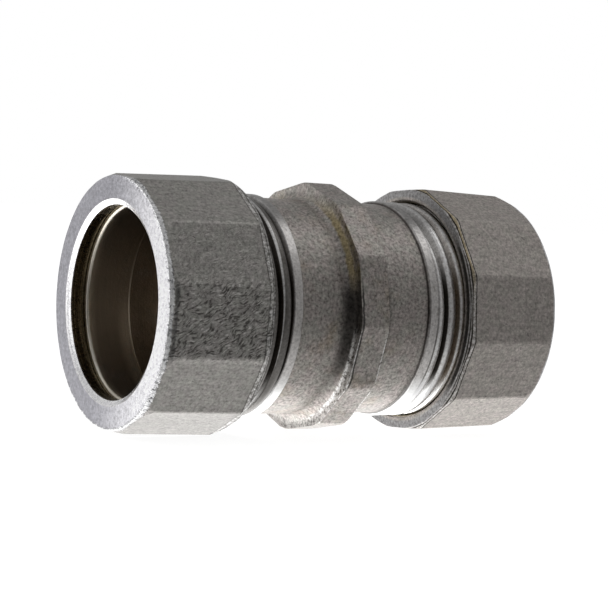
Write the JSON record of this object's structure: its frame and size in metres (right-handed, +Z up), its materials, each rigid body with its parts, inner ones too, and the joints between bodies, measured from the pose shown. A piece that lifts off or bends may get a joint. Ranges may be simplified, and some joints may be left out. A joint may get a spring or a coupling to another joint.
{
  "type": "conduit coupling",
  "caption": "Compression coupling that joins thin-wall steel conduits end to end: threaded body with a wrench land, twelve-sided gland nuts and split tapered rings.",
  "frame": {"origin": "middle of the coupling on the conduit's centre line", "axes": "+X along the conduit towards the right gland nut, +Z up, the coupling lying on a corner of each gland nut"},
  "size_m": [0.0574, 0.0324, 0.0324],
  "materials": {
    "body_steel": "zinc-plated turned steel, satin, a little stained",
    "nut_steel": "zinc-plated steel, dull and finely pitted flats",
    "ring_steel": "bright zinc-plated steel"
  },
  "bodies": {
    "body": {"coupling_body": "body_steel"},
    "left_ring": {"left_compression_ring": "ring_steel"},
    "left_nut": {"left_gland_nut": "nut_steel"},
    "right_ring": {"right_compression_ring": "ring_steel"},
    "right_nut": {"right_gland_nut": "nut_steel"}
  },
  "joints": [
    {"name": "left_ring_slide", "type": "slide", "parent": "body", "child": "left_ring", "axis": [-1, 0, 0], "range_m": [-0.00086, 0.0073]},
    {"name": "left_nut_turn", "type": "hinge", "parent": "left_ring", "child": "left_nut", "pos_m": [0, 0, 0], "axis": [-1, 0, 0], "range_deg": [-170, 1430]},
    {"name": "right_ring_slide", "type": "slide", "parent": "body", "child": "right_ring", "axis": [1, 0, 0], "range_m": [-0.00086, 0.0073]},
    {"name": "right_nut_turn", "type": "hinge", "parent": "right_ring", "child": "right_nut", "pos_m": [0, 0, 0], "axis": [1, 0, 0], "range_deg": [-170, 1430]}
  ],
  "couplings": [
    {"joint": "left_ring_slide", "follows": "left_nut_turn", "m_per_rad": 0.00028875},
    {"joint": "right_ring_slide", "follows": "right_nut_turn", "m_per_rad": 0.00028875}
  ]
}
